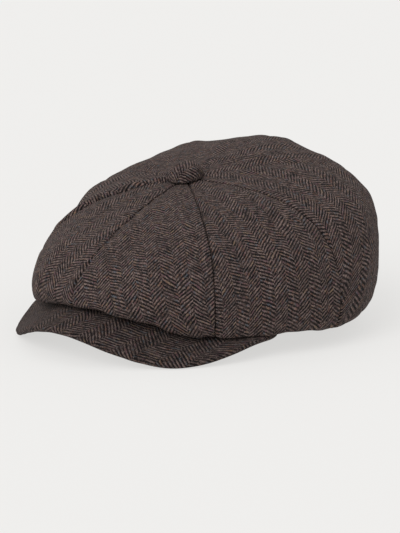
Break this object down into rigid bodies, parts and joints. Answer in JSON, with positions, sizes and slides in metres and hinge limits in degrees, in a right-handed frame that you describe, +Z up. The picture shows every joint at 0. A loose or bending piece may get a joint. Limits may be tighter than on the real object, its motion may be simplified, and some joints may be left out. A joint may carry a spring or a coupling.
{
  "type": "newsboy cap",
  "caption": "Full gathered panelled cap in herringbone wool with a short stiff curved brim, a headband, a lining and a cloth-covered button on top.",
  "frame": {"origin": "on the table under the middle of the cap's overall box", "axes": "+Z up, -Y towards the front of the brim, +X towards the wearer's left"},
  "size_m": [0.2636, 0.2826, 0.1352],
  "materials": {
    "tweed": "wool herringbone, soft and slightly hairy",
    "tweed_dark": "wool herringbone, soft and slightly hairy",
    "lining": "woven satin, low sheen",
    "sweatband": "cotton twill tape",
    "interlining": "stiff buckram",
    "board": "flexible brim board",
    "metal": "plain pressed metal",
    "label": "satin ribbon, blank"
  },
  "bodies": {
    "cap": {"crown_panel_front_left": "tweed", "crown_panel_front_side_left": "tweed", "crown_panel_rear_side_left": "tweed", "crown_panel_rear_left": "tweed", "crown_panel_rear_right": "tweed", "crown_panel_rear_side_right": "tweed", "crown_panel_front_side_right": "tweed", "crown_panel_front_right": "tweed", "lining_panel_front_left": "lining", "lining_panel_front_side_left": "lining", "lining_panel_rear_side_left": "lining", "lining_panel_rear_left": "lining", "lining_panel_rear_right": "lining", "lining_panel_rear_side_right": "lining", "lining_panel_front_side_right": "lining", "lining_panel_front_right": "lining", "headband": "tweed_dark", "band_interlining": "interlining", "sweatband": "sweatband", "brim_board": "board", "brim_top_cover": "tweed_dark", "brim_under_cover": "tweed_dark"},
    "button": {"button_cover": "tweed", "button_shell": "metal", "button_post": "metal", "button_washer": "metal"},
    "care_label": {"care_label": "label"}
  },
  "joints": [
    {"name": "button_turn", "type": "hinge", "parent": "cap", "child": "button", "pos_m": [0, 0.0019, 0.1126], "axis": [0, -0.225, 0.9744], "continuous": true},
    {"name": "care_label_flip", "type": "hinge", "parent": "cap", "child": "care_label", "pos_m": [0, 0.123, 0.0255], "axis": [-1, 0, 0], "range_deg": [0, 150]}
  ]
}
